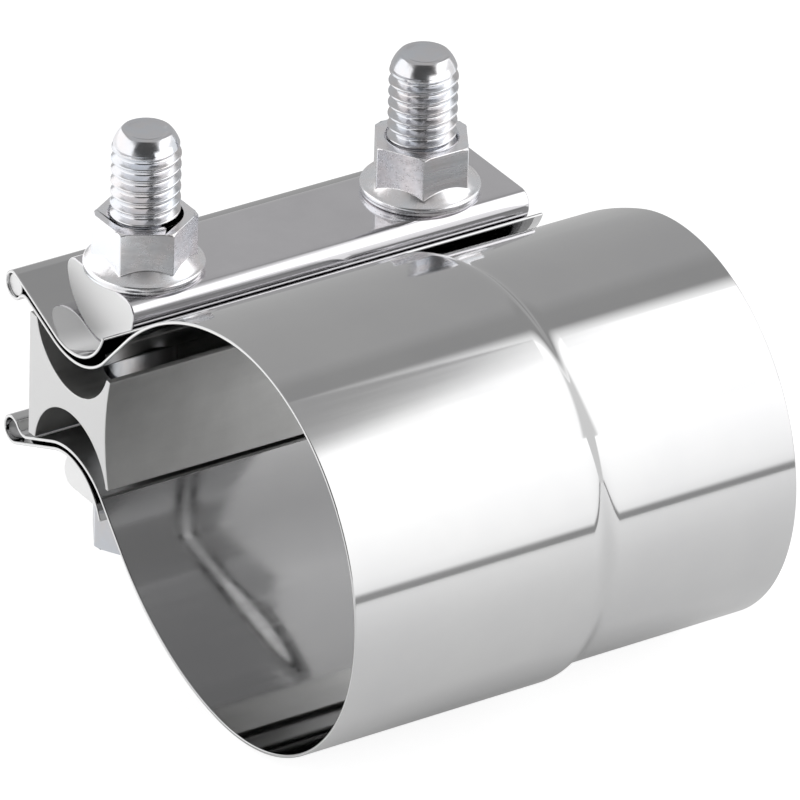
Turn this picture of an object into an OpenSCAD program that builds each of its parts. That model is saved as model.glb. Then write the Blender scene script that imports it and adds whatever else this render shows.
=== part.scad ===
// Stepped band clamp for a lap joint between two exhaust pipes.
// One folded stainless band grips both pipes. Two through bolts pull its ears
// together over a hollow-ground reaction block, between two half-round bars.
// Frame: the pipes' axis is Y, the front rim lies at y = 0, and the bolts run along Z.

/* [Pipe sockets] */
// Bore of the front socket, which takes the outer pipe of the lap joint
front_bore_d = 60.4; // [58.4:0.1:63]
// Bore of the rear socket, which takes the inner pipe
rear_bore_d = 57.2; // [55:0.1:59]
// Thickness of the band's sheet
sheet_t = 0.8; // [0.6:0.05:1.1]
// Width of the band along the pipes
band_w = 73.4; // [70:0.2:90]
// Length of the front socket, up to the step
front_w = 39; // [34:0.5:42]
// Length of the step between the sockets
step_w = 5; // [3:0.5:8]

/* [Ears of the band] */
// Distance of the bolts' line from the outside of the front socket
bolt_offset = 13.7; // [13.2:0.1:15]
// Slope at which the front socket leaves its circle for the ear
front_blend_slope = 8; // [4:1:14]
// Length of the ear's straight flank on the front socket
front_flank_len = 8.7; // [7:0.1:10]
// Slope at which the rear socket leaves its circle for the ear
rear_blend_slope = 24; // [18:1:26]
// Length of the ear's straight flank on the rear socket
rear_flank_len = 1; // [0.4:0.1:4]
// Height of the ear's trough above the pipes' axis, on the bar's side
trough_z = 7.7; // [7.4:0.1:8.6]
// Radius of the band in the trough, on the bar's side
trough_r = 13; // [12:0.1:14]
// Radius of the folded flap in the trough, on the bar's side
flap_r = 10; // [9.6:0.1:10.8]
// Gap between the flap and the band under it, at the bottom of the trough
seam_gap = 0.2; // [0.1:0.05:0.5]
// Slope at which the flap ends, on the pipe's side of the trough
flap_end_slope = 66; // [50:1:72]

/* [Rolled loops and rods] */
// Diameter of the wire rod in each loop
rod_d = 3.2; // [2.6:0.1:3.6]
// Distance of the rods from the bolts' line
rod_offset = 14.8; // [14.4:0.1:16]
// Height of the rods above and below the pipes' axis
rod_z = 12.35; // [12:0.05:12.8]
// Radius of the neck where the band turns under the rod, at its middle
neck_r = 2; // [1.6:0.1:2.6]
// Length that the rods stay short of each rim
rod_inset = 0.4; // [0:0.1:2]

/* [Half-round bars] */
// Radius of the bars' round side
bar_r = 9.5; // [9:0.1:9.8]
// Thickness of the bars, from the flat side to the round side
bar_h = 9.8; // [8.5:0.1:10.5]
// Radius of the two edges beside the bars' flat side
bar_edge_r = 1.8; // [1:0.1:2.4]
// Length of the bars
bar_len = 65; // [60:0.5:67]
// Distance of the bars' front end from the front rim
bar_y = 5.1; // [4:0.1:6]

/* [Reaction block] */
// Gap between the front pipe and the block's hollow face
block_pipe_gap = 4.4; // [3.8:0.1:5]
// Distance from the bolts' line to the block's outer side
block_reach = 10.2; // [9.9:0.1:10.8]
// Radius of the scoops above and below the block's web
scoop_r = 9.8; // [9.4:0.1:10]
// Distance of the scoops' centres from the bolts' line, towards the pipe
scoop_shift = 1.4; // [1:0.1:1.6]
// Thickness of the block's web
web_t = 4.2; // [3:0.1:6]
// Height of the block's horns above the pipes' axis
horn_z = 8.5; // [7.5:0.1:8.8]

/* [Bolts and nuts] */
// Diameter of the bolts
bolt_d = 10; // [8:0.1:10.2]
// Distance of the front bolt from the front rim
front_bolt_y = 12.3; // [11:0.1:16]
// Distance between the bolts
bolt_pitch = 46; // [40:0.5:48]
// Length of the bolts under their heads
bolt_len = 59; // [56:0.5:70]
// Diameter of the flat on the bolts' tips
tip_d = 7; // [5:0.1:7.6]
// Length of the bolts' rounded tips
tip_len = 3.7; // [2:0.1:4.5]
// Width across the flats of the heads and nuts
wrench_w = 13; // [12.6:0.1:14.5]
// Height of the bolts' heads
head_h = 6.4; // [5:0.1:7]
// Height of the nuts
nut_h = 8.3; // [7.6:0.1:9]
// Diameter of the nuts' flanges
flange_d = 17.3; // [16.4:0.1:18]
// Thickness of the nuts' flanges at their rims
flange_t = 1.2; // [0.8:0.1:1.6]
// Height at which the flanges reach the middle of the nuts' flats
flange_h = 3.1; // [2.6:0.1:3.6]
// Direction that a flat of the front nut faces
front_nut_turn = -29; // [-60:1:60]
// Direction that a flat of the rear nut faces
rear_nut_turn = -2.7; // [-60:0.1:60]

/* [Clearances] */
// Room round the bolts in the bars, the band and the block
bolt_room = 0.5; // [0.3:0.05:0.7]
// Running clearance between a bolt and its nut
thread_clear = 0.05; // [0.02:0.01:0.1]
// Clearance between parts that rest in each other
seat_clear = 0.03; // [0.01:0.01:0.1]

/* [Hidden] */

$fn = 96;
over = 1;                     // how far a cut runs past what it cuts
far = 200;                    // longer than anything in the part
arc_step = 5;                 // angle between an ear's points on its round stretches
step_slices = 8;              // slices along the step
chamfer_slope = 30;           // slope of the chamfers on heads and nuts

polished = [0.80, 0.81, 0.82];
satin = [0.74, 0.75, 0.76];
zinc = [0.72, 0.75, 0.80];

front_r = front_bore_d / 2 + sheet_t;
rear_r = rear_bore_d / 2 + sheet_t;
bolt_x = -(front_r + bolt_offset);
bolt_ys = [front_bolt_y, front_bolt_y + bolt_pitch];
hole_d = bolt_d + 2 * bolt_room;

// Centres of the round stretches of an ear, as [x, z]
trough = [bolt_x, trough_z + trough_r];
flap_bottom_z = trough_z + seam_gap + sheet_t;
flap = [bolt_x, flap_bottom_z + flap_r];
rod = [bolt_x - rod_offset, rod_z];

// Unit vector at an angle, and the normal of a line that falls to the pipe at a slope
function unit(a) = [cos(a), sin(a)];
function up(slope) = unit(90 + slope);
function angle_to(v) = atan2(v[1], v[0]);

// The flap leaves the loop on a line that touches the loop and the flap's trough
loop_r = rod_d / 2 + seat_clear + sheet_t / 2;
flap_mid_r = flap_r + sheet_t / 2;
to_flap = flap - rod;
flap_slope = 90 - angle_to(to_flap) - acos((loop_r + flap_mid_r) / norm(to_flap));
fall = -flap_slope;

// The band runs beside that line at the slope where both troughs are at rest,
// then turns round the neck, under the rod
trough_mid_r = trough_r + sheet_t / 2;
layer_level = up(fall) * trough - trough_mid_r;
neck_level = layer_level - neck_r - up(fall) * rod;
neck_back = sqrt(pow(neck_r + loop_r, 2) - pow(neck_level, 2));
neck = rod + neck_level * up(fall) - neck_back * unit(180 + fall);
neck_to_rod = angle_to(rod - neck);

// A socket's shape is its radius, the slope where its crest starts, and its flank's length.
// The crest's arc is longer in radius than the socket by a gain at which the arc, the
// straight flank and the trough join smoothly.
front_shape = [front_r, front_blend_slope, front_flank_len];
rear_shape = [rear_r, rear_blend_slope, rear_flank_len];
function crest_gain(shape) =
    let (reach = shape[0] + trough_r)
    (trough * trough - reach * reach - shape[2] * shape[2])
    / (2 * (reach - trough * up(shape[1])));
function flank_slope(shape) =
    let (gain = crest_gain(shape))
    angle_to(trough + gain * up(shape[1]))
    - atan2(shape[2], shape[0] + gain + trough_r) - 90;

// Slope where the socket's circle ends in the model, and where the ear's own part starts
circle_slope = min(front_blend_slope, rear_blend_slope);
ear_slope = 30;
crest_points = 12;
trough_points = 4;

// Points over the crest from a slope to the flank, a depth below the surface
function crest(shape, from, depth) =
    let (gain = crest_gain(shape), to = flank_slope(shape))
    [
        for (i = [0 : crest_points])
            let (slope = from + (to - from) * i / crest_points)
            slope <= shape[1]
                ? (shape[0] - depth) * up(slope)
                : (shape[0] + gain - depth) * up(slope) - gain * up(shape[1])
    ];

// Points from the flank's foot into the trough
function foot(shape, depth) =
    let (from = flank_slope(shape))
    [
        for (i = [0 : trough_points])
            trough - (trough_r + depth) * up(from + (ear_slope - from) * i / trough_points)
    ];

// Points on an arc between two angles, the first and last included
function arc(centre, r, from, to) =
    let (steps = ceil(abs(to - from) / arc_step))
    [for (i = [0 : steps]) centre + r * unit(from + (to - from) * i / steps)];

// Points of the ear from its trough, round the neck and the rod, to the end of the flap.
// The side is 1 on the bar's side of the band and -1 on the block's side.
function fold_points(side) =
    let (half = side * sheet_t / 2)
    concat(
        arc(trough, trough_mid_r - half, 270 + ear_slope, 270 + fall),
        arc(neck, neck_r + half, 90 + fall, neck_to_rod),
        arc(rod, loop_r - half, neck_to_rod - 180, fall + 90 - 360),
        arc(flap, flap_mid_r + half, 270 + fall, 270 + flap_end_slope)
    );

function reversed(list) = [for (i = [len(list) - 1 : -1 : 0]) list[i]];
function below(list) = [for (p = reversed(list)) [p[0], -p[1]]];

// Draws a section given in X and Z, from a place along the pipes
module along_pipe(y, length)
    translate([0, y, 0]) mirror([0, 0, 1]) rotate([-90, 0, 0]) linear_extrude(length) children();

module both_sides() {
    children();
    mirror([0, 0, 1]) children();
}

module bolt_holes(d)
    for (y = bolt_ys) translate([bolt_x, y, -far / 2]) cylinder(d = d, h = far);

// A socket's section filled in: its circle, crests and flanks, a depth below the surface.
// The crest starts a little inside the circle, so that its outline crosses it only once.
module filled_socket(shape, depth) {
    tuck = 0.01;
    points = crest(shape, shape[1], depth);
    flank = concat(
        [points[0] - tuck * up(shape[1])],
        [for (i = [1 : crest_points]) points[i]],
        foot(shape, depth)
    );
    circle(shape[0] - depth);
    polygon(concat(flank, below(flank)));
}

// The section of a socket's sheet, open towards the bolts between its two flanks
module socket_section(shape)
    difference() {
        filled_socket(shape, 0);
        filled_socket(shape, sheet_t);
        ends = [foot(shape, 0)[trough_points], foot(shape, sheet_t)[trough_points]];
        polygon(concat(ends, below(ends), [[-far, 0]]));
    }

// The ear's folded part has the same section all along. Its first point lies inside the
// sheet of the flank, so that the two are one piece.
module fold_section() {
    root = trough - trough_mid_r * up(ear_slope + 2);
    polygon(concat([root], fold_points(1), reversed(fold_points(-1))));
}

// The step eases from the front socket's section to the rear socket's
function eased(u) = u * u * (3 - 2 * u);
function step_shape(k) = front_shape + (rear_shape - front_shape) * eased(k / step_slices);
function step_y(k) = front_w + step_w * k / step_slices;

module step_circle()
    mirror([0, 0, 1]) rotate([-90, 0, 0]) rotate(-90 - circle_slope)
        rotate_extrude(angle = 180 + 2 * circle_slope)
            polygon(concat(
                [for (k = [0 : step_slices]) [step_shape(k)[0], step_y(k)]],
                [for (k = [step_slices : -1 : 0]) [step_shape(k)[0] - sheet_t, step_y(k)]]
            ));

// Points of one slice through the step's crest and flank, on the outside or the inside
function step_slice(k, depth) =
    let (shape = step_shape(k))
    [
        for (p = concat(crest(shape, circle_slope, depth), foot(shape, depth)))
            [p[0], step_y(k), p[1]]
    ];

module step_flank() {
    n = crest_points + trough_points + 2;
    slices = [for (k = [0 : step_slices]) each concat(step_slice(k, 0), step_slice(k, sheet_t))];
    // Number of a point: its slice, 0 outside or 1 inside, and its place from the circle
    function at(k, inside, i) = (2 * k + inside) * n + i;
    skins = [
        for (k = [0 : step_slices - 1], i = [0 : n - 2]) each [
            [at(k, 0, i), at(k, 0, i + 1), at(k + 1, 0, i + 1)],
            [at(k, 0, i), at(k + 1, 0, i + 1), at(k + 1, 0, i)],
            [at(k, 1, i), at(k + 1, 1, i + 1), at(k, 1, i + 1)],
            [at(k, 1, i), at(k + 1, 1, i), at(k + 1, 1, i + 1)]
        ]
    ];
    edges = [
        for (k = [0 : step_slices - 1]) each [
            [at(k, 0, 0), at(k + 1, 0, 0), at(k + 1, 1, 0), at(k, 1, 0)],
            [at(k, 1, n - 1), at(k + 1, 1, n - 1), at(k + 1, 0, n - 1), at(k, 0, n - 1)]
        ]
    ];
    last = step_slices;
    rims = [
        for (i = [0 : n - 2]) each [
            [at(0, 0, i + 1), at(0, 0, i), at(0, 1, i), at(0, 1, i + 1)],
            [at(last, 0, i), at(last, 0, i + 1), at(last, 1, i + 1), at(last, 1, i)]
        ]
    ];
    polyhedron(slices, concat(skins, edges, rims));
}

module band()
    color(polished) difference() {
        rear_y = front_w + step_w;
        union() {
            along_pipe(0, front_w) socket_section(front_shape);
            step_circle();
            both_sides() step_flank();
            along_pipe(rear_y, band_w - rear_y) socket_section(rear_shape);
            both_sides() along_pipe(0, band_w) fold_section();
        }
        bolt_holes(hole_d);
    }

// A wire rod lies in each rolled loop, so that the ear can't pull out of the clamp
module wire_rod()
    color(satin) translate([rod[0], rod_inset, rod[1]]) rotate([-90, 0, 0])
        cylinder(d = rod_d, h = band_w - 2 * rod_inset);

module upper_rod() wire_rod();
module lower_rod() mirror([0, 0, 1]) wire_rod();

// The bar's section, with its round side's centre at the origin
module bar_section() {
    edge_z = bar_h - bar_r - bar_edge_r;
    edge_x = sqrt(pow(bar_r - bar_edge_r, 2) - edge_z * edge_z);
    edge_angle = atan2(edge_z, edge_x);
    intersection() {
        circle(bar_r);
        polygon([
            [-edge_x, edge_z], [edge_x, edge_z], far * unit(edge_angle),
            [far, -far], [-far, -far], far * unit(180 - edge_angle)
        ]);
    }
    for (x = [-edge_x, edge_x]) translate([x, edge_z]) circle(bar_edge_r);
    translate([-edge_x, edge_z]) square([2 * edge_x, bar_edge_r]);
}

bar_bottom_z = flap_bottom_z + seat_clear;
bar_top_z = bar_bottom_z + bar_h;

module saddle_bar()
    color(polished) difference() {
        along_pipe(bar_y, bar_len) translate([bolt_x, bar_bottom_z + bar_r]) bar_section();
        bolt_holes(hole_d);
    }

module upper_saddle_bar() saddle_bar();
module lower_saddle_bar() mirror([0, 0, 1]) saddle_bar();

// The block's legs reach up to the underside of the ears, beside the scoops
block_face_r = front_bore_d / 2 + block_pipe_gap;
scoop = [bolt_x + scoop_shift, web_t / 2 + scoop_r];
leg_drop = up(fall) * scoop - (layer_level - sheet_t / 2 - seat_clear);
leg_corner = scoop - leg_drop * up(fall)
    + sqrt(scoop_r * scoop_r - leg_drop * leg_drop) * unit(180 + fall);

module block_section() {
    leg_x = bolt_x - block_reach;
    leg_z = leg_corner[1];
    horn_x = -sqrt(block_face_r * block_face_r - horn_z * horn_z);
    difference() {
        polygon([[leg_x, leg_z], [horn_x, horn_z], [horn_x, -horn_z], [leg_x, -leg_z]]);
        circle(block_face_r);
        for (side = [-1, 1]) translate([scoop[0], side * scoop[1]]) circle(scoop_r);
    }
}

module reaction_block()
    color(satin) difference() {
        along_pipe(0, band_w) block_section();
        bolt_holes(hole_d);
    }

// A hexagon with a flat facing +X, chamfered at its top
module chamfered_hexagon(h)
    intersection() {
        rotate(30) cylinder(d = wrench_w / cos(30), h = h, $fn = 6);
        cylinder(r1 = wrench_w / 2 + h / tan(chamfer_slope), r2 = wrench_w / 2, h = h);
    }

// A bolt with the underside of its head at the origin, pointing up
module bolt() {
    shank_len = bolt_len - tip_len;
    tip_w = (bolt_d - tip_d) / 2;
    tip_r = (tip_w * tip_w + tip_len * tip_len) / (2 * tip_w);
    color(zinc) {
        mirror([0, 0, 1]) chamfered_hexagon(head_h);
        rotate_extrude() {
            square([bolt_d / 2, shank_len]);
            intersection() {
                translate([bolt_d / 2 - tip_r, shank_len]) circle(tip_r);
                translate([0, shank_len]) square([bolt_d / 2, tip_len]);
            }
        }
    }
}

module placed_bolt(y) translate([bolt_x, y, -bar_top_z - seat_clear]) bolt();
module front_bolt() placed_bolt(bolt_ys[0]);
module rear_bolt() placed_bolt(bolt_ys[1]);

// A flange nut standing on its flange at the origin, with a flat facing +X
module flange_nut() {
    bore_r = bolt_d / 2 + thread_clear;
    mouth_r = bore_r + 0.5;
    mouth_h = mouth_r - bore_r;
    color(zinc) difference() {
        union() {
            chamfered_hexagon(nut_h);
            rotate_extrude() polygon([
                [0, 0], [flange_d / 2, 0], [flange_d / 2, flange_t],
                [wrench_w / 2, flange_h], [0, flange_h]
            ]);
        }
        translate([0, 0, -over]) cylinder(r = bore_r, h = nut_h + 2 * over);
        translate([0, 0, nut_h - mouth_h]) cylinder(r1 = bore_r, r2 = mouth_r, h = mouth_h);
        cylinder(r1 = mouth_r, r2 = bore_r, h = mouth_h);
    }
}

module placed_nut(y, turn)
    translate([bolt_x, y, bar_top_z + seat_clear]) rotate(turn) flange_nut();

module front_nut() placed_nut(bolt_ys[0], front_nut_turn);
module rear_nut() placed_nut(bolt_ys[1], rear_nut_turn);

band();
upper_rod();
lower_rod();
upper_saddle_bar();
lower_saddle_bar();
reaction_block();
front_bolt();
rear_bolt();
front_nut();
rear_nut();
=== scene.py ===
"""A stepped band clamp for the lap joint between two exhaust pipes.

One sheet of polished stainless steel is rolled round both pipes and folded back over a
wire rod at each ear. Two bolts with flange nuts pull the ears together over a
hollow-sided block, between two half-round saddle bars.

Lengths are in millimetres in the classes, as on a drawing, and become metres where
Blender gets them. X is square to the pipes, with the bolts on its minus side, Y runs
along the pipes from the front rim, and Z runs along the bolts from heads to tips.
"""

import logging
import math
from dataclasses import dataclass
from enum import Enum

import bpy
from mathutils import Matrix, Vector


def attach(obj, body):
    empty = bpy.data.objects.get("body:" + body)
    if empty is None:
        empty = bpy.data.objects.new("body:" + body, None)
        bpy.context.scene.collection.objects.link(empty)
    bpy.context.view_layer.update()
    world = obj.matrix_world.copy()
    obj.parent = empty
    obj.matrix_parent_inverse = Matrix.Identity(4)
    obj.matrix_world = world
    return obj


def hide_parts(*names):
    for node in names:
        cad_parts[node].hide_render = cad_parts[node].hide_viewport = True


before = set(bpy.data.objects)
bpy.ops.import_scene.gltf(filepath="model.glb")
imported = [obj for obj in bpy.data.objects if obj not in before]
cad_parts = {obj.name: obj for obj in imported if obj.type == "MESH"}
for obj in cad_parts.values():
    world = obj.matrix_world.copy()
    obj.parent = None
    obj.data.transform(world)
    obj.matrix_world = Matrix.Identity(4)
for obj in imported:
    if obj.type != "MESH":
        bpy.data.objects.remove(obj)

log = logging.getLogger("clamp")

MM = 0.001
SAME_POINT = 1e-6
DRILL_LEN = 120.0
TURNED_SIDES = 144
NUT_TURNS = (-29.0, 0.0)


class Fit(Enum):
    """What a boolean cut does with its tool."""

    CUT = "DIFFERENCE"
    JOIN = "UNION"
    KEEP_COMMON = "INTERSECT"


class Slot(Enum):
    """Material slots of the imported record."""

    POLISHED = "polished_steel"
    WIRE = "wire_steel"
    BLOCK = "block_metal"
    ZINC = "zinc_plated_steel"


def place(x: float, y: float, z: float) -> Vector:
    """Returns a point given in millimetres as a vector in metres."""
    return Vector((x, y, z)) * MM


def ray(angle: float) -> Vector:
    """Returns the unit vector at an angle in degrees, as x and z of the section."""
    return Vector((math.cos(math.radians(angle)), math.sin(math.radians(angle))))


def rise(slope: float) -> Vector:
    """Returns the normal of a surface that falls towards the bolts at a slope in degrees."""
    return ray(90 + slope)


def heading(v: Vector) -> float:
    """Returns the angle of a vector of the section, in degrees."""
    return math.degrees(math.atan2(v.y, v.x))


# Sizes


@dataclass(frozen=True)
class SocketShape:
    """The section of one pipe socket.

    Attributes:
        outer_r: Radius of the socket's outside.
        crest_slope: Slope where the crest leaves the circle.
        flank_len: Length of the straight flank.
    """

    outer_r: float
    crest_slope: float
    flank_len: float


@dataclass(frozen=True)
class ClampSizes:
    """The sizes that more than one piece of the clamp needs, in millimetres and degrees."""

    sheet: float = 0.5
    width: float = 73.4
    front_width: float = 39.0
    step_width: float = 5.0
    front: SocketShape = SocketShape(30.7, 6.0, 8.0)
    rear: SocketShape = SocketShape(29.4, 22.0, 2.0)
    bolt_x: float = -44.7
    bolt_ys: tuple[float, float] = (12.3, 58.3)
    hole_d: float = 11.0
    trough_z: float = 7.6
    trough_r: float = 12.0
    trough_shift: float = 0.5
    flap_r: float = 9.35
    seam_gap: float = 0.6
    flap_end: float = 70.0
    rod_d: float = 3.4
    rod_x: float = -59.69
    rod_z: float = 11.7
    neck_r: float = 2.0
    seat: float = 0.03

    @property
    def trough(self) -> Vector:
        """Centre of the band's trough under the bar."""
        return Vector((self.bolt_x + self.trough_shift, self.trough_z + self.trough_r))

    @property
    def flap_bottom(self) -> float:
        """Height of the flap's upper side at the bottom of the trough."""
        return self.trough_z + self.seam_gap + self.sheet

    @property
    def flap(self) -> Vector:
        """Centre of the flap's trough."""
        return Vector((self.bolt_x, self.flap_bottom + self.flap_r))

    @property
    def rod(self) -> Vector:
        """Centre of the rod in the rolled loop."""
        return Vector((self.rod_x, self.rod_z))

    @property
    def loop_r(self) -> float:
        """Radius of the sheet's middle round the rod."""
        return self.rod_d / 2 + self.seat + self.sheet / 2

    @property
    def fall(self) -> float:
        """Slope of the two layers between the loop and the trough."""
        way = self.flap - self.rod
        reach = self.loop_r + self.flap_r + self.sheet / 2
        return heading(way) + math.degrees(math.acos(reach / way.length)) - 90

    @property
    def layer_level(self) -> float:
        """Height of the lower layer's middle, measured square to its slope."""
        return rise(self.fall).dot(self.trough) - self.trough_r - self.sheet / 2

    @property
    def neck(self) -> Vector:
        """Centre of the bend under the rod."""
        level = self.layer_level - self.neck_r - rise(self.fall).dot(self.rod)
        back = math.sqrt((self.neck_r + self.loop_r) ** 2 - level**2)
        return self.rod + level * rise(self.fall) - back * ray(180 + self.fall)

    @property
    def bar_bottom(self) -> float:
        """Height of the upper bar's round side."""
        return self.flap_bottom + self.seat


SIZES = ClampSizes()


# Workshop


class Workshop:
    """Modelling steps shared by all the pieces, each done with Blender's own tools."""

    @staticmethod
    def put_down() -> None:
        """Leaves edit mode and deselects everything."""
        if bpy.context.mode != "OBJECT":
            bpy.ops.object.mode_set(mode="OBJECT")
        bpy.ops.object.select_all(action="DESELECT")

    @staticmethod
    def pick_up(piece: bpy.types.Object) -> None:
        """Selects one piece and makes it the active one."""
        Workshop.put_down()
        piece.select_set(True)
        bpy.context.view_layer.objects.active = piece

    @staticmethod
    def settle(name: str) -> bpy.types.Object:
        """Moves the active piece's place, turn and scale into its mesh and names it."""
        if bpy.context.mode != "OBJECT":
            bpy.ops.object.mode_set(mode="OBJECT")
        bpy.ops.object.transform_apply(location=True, rotation=True, scale=True)
        piece = bpy.context.active_object
        piece.name = name
        piece.data.name = name
        return piece

    @staticmethod
    def apply(piece: bpy.types.Object, modifier: bpy.types.Modifier) -> None:
        """Applies one modifier."""
        Workshop.pick_up(piece)
        bpy.ops.object.modifier_apply(modifier=modifier.name)

    @staticmethod
    def fit(piece: bpy.types.Object, tool: bpy.types.Object, how: Fit) -> None:
        """Cuts or joins a piece with a tool, and takes the tool away.

        Args:
            tool: The solid that cuts it or joins it.
            how: What to do with the tool.
        """
        cut = piece.modifiers.new("fit", "BOOLEAN")
        cut.operation = how.value
        cut.solver = "EXACT"
        cut.object = tool
        Workshop.apply(piece, cut)
        bpy.data.objects.remove(tool)

    @staticmethod
    def join(pieces: list[bpy.types.Object]) -> bpy.types.Object:
        """Joins pieces to one object, of which the first one stays."""
        Workshop.put_down()
        for piece in pieces:
            piece.select_set(True)
        bpy.context.view_layer.objects.active = pieces[0]
        bpy.ops.object.join()
        return bpy.context.active_object

    @staticmethod
    def weld(piece: bpy.types.Object) -> None:
        """Merges double points and turns all faces outwards."""
        Workshop.pick_up(piece)
        bpy.ops.object.mode_set(mode="EDIT")
        bpy.ops.mesh.select_all(action="SELECT")
        bpy.ops.mesh.remove_doubles(threshold=SAME_POINT)
        bpy.ops.mesh.normals_make_consistent(inside=False)
        Workshop.put_down()

    @staticmethod
    def mirrored(piece: bpy.types.Object, name: str) -> bpy.types.Object:
        """Makes the same piece below the pipes' axis."""
        Workshop.pick_up(piece)
        bpy.ops.object.duplicate()
        bpy.ops.transform.resize(value=(1, 1, -1), center_override=(0, 0, 0))
        copy = Workshop.settle(name)
        Workshop.weld(copy)
        return copy

    @staticmethod
    def finish_edges(
        piece: bpy.types.Object, width: float, steps: int = 3, sharper_than: float = 50
    ) -> None:
        """Breaks the sharp edges as tumbling does, and shades the piece smoothly.

        Args:
            width: Width of the broken edges, in millimetres.
            steps: Faces across each edge.
            sharper_than: Angle over which an edge is broken, in degrees.
        """
        edges = piece.modifiers.new("edges", "BEVEL")
        edges.width = width * MM
        edges.segments = steps
        edges.limit_method = "ANGLE"
        edges.angle_limit = math.radians(sharper_than)
        edges.use_clamp_overlap = False
        edges.miter_outer = "MITER_ARC"
        Workshop.apply(piece, edges)
        Workshop.smooth(piece)

    @staticmethod
    def smooth(piece: bpy.types.Object, angle: float = 35) -> None:
        """Shades a piece smoothly, except at edges over an angle in degrees."""
        Workshop.pick_up(piece)
        bpy.ops.object.shade_smooth_by_angle(angle=math.radians(angle))
        normals = piece.modifiers.new("normals", "WEIGHTED_NORMAL")
        normals.mode = "FACE_AREA"
        normals.weight = 50
        normals.keep_sharp = True
        Workshop.apply(piece, normals)

    @staticmethod
    def cylinder(
        name: str, sides: int, radius: float, length: float, middle: Vector,
        turn: tuple[float, float, float] = (0, 0, 0),
    ) -> bpy.types.Object:
        """Makes a cylinder, which stands along Z where it isn't turned.

        Args:
            sides: Number of faces round it.
            radius: Its radius, in millimetres.
            length: Its length, in millimetres.
            middle: Its centre, in metres.
            turn: Turns about X, Y and Z, in degrees.
        """
        Workshop.put_down()
        bpy.ops.mesh.primitive_cylinder_add(
            vertices=sides, radius=radius * MM, depth=length * MM, location=middle,
            rotation=[math.radians(angle) for angle in turn],
        )
        return Workshop.settle(name)

    @staticmethod
    def drill(piece: bpy.types.Object) -> None:
        """Drills the bolts' holes along Z through a piece."""
        for y in SIZES.bolt_ys:
            middle = place(SIZES.bolt_x, y, 0)
            drill = Workshop.cylinder("drill", 96, SIZES.hole_d / 2, DRILL_LEN, middle)
            Workshop.fit(piece, drill, Fit.CUT)


class Outline:
    """A line that is drawn from a point by extruding and spinning its loose end."""

    def __init__(self, start: Vector, y: float) -> None:
        """Starts the line.

        Args:
            start: First point, as x and z of the section.
            y: Place of the section along the pipes.
        """
        self.y = y
        self.tip = start.copy()
        Workshop.put_down()
        bpy.ops.mesh.primitive_plane_add(size=MM, location=(0, 0, 0))
        bpy.ops.object.mode_set(mode="EDIT")
        bpy.ops.mesh.select_all(action="SELECT")
        bpy.ops.mesh.merge(type="CENTER")
        bpy.ops.mesh.select_mode(type="VERT")
        bpy.ops.mesh.select_all(action="SELECT")
        bpy.ops.transform.translate(value=place(start.x, y, start.y))

    def line_to(self, end: Vector, steps: int = 1) -> None:
        """Draws a straight stretch.

        Args:
            end: End of the stretch.
            steps: Number of edges.
        """
        stride = (end - self.tip) / steps
        if stride.length < 1e-7:
            return
        for _ in range(steps):
            bpy.ops.mesh.extrude_region_move(
                TRANSFORM_OT_translate={"value": place(stride.x, 0, stride.y)}
            )
        self.tip = end.copy()

    def through(self, *points: tuple[float, float]) -> None:
        """Draws straight stretches through points, each as x and z of the section."""
        for point in points:
            self.line_to(Vector(point))

    def arc(self, centre: Vector, turn: float, steps: int) -> None:
        """Draws a round stretch.

        Args:
            centre: Centre of the arc.
            turn: Angle of the arc in degrees, positive from X towards Z.
            steps: Number of edges.
        """
        bpy.ops.mesh.spin(
            steps=steps, angle=math.radians(turn),
            center=place(centre.x, self.y, centre.y), axis=(0, 1, 0),
        )
        arm = self.tip - centre
        self.tip = centre + arm.length * ray(heading(arm) + turn)

    def draw_out(self, length: float) -> None:
        """Draws the whole line out along the pipes to a surface."""
        bpy.ops.mesh.select_all(action="SELECT")
        bpy.ops.mesh.extrude_region_move(
            TRANSFORM_OT_translate={"value": place(0, length, 0)}
        )

    def solid(self, length: float, name: str) -> bpy.types.Object:
        """Closes the line to a face and draws it out along the pipes to a solid."""
        bpy.ops.mesh.select_all(action="SELECT")
        bpy.ops.mesh.remove_doubles(threshold=1e-7)
        bpy.ops.mesh.edge_face_add()
        self.draw_out(length)
        piece = Workshop.settle(name)
        Workshop.weld(piece)
        return piece

    def turned(self, name: str) -> bpy.types.Object:
        """Ends the drawing as a solid of revolution round Z."""
        bpy.ops.mesh.select_all(action="SELECT")
        bpy.ops.mesh.spin(
            steps=TURNED_SIDES, angle=math.tau, center=(0, 0, 0), axis=(0, 0, 1)
        )
        piece = Workshop.settle(name)
        Workshop.weld(piece)
        return piece


# Finishes


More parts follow.
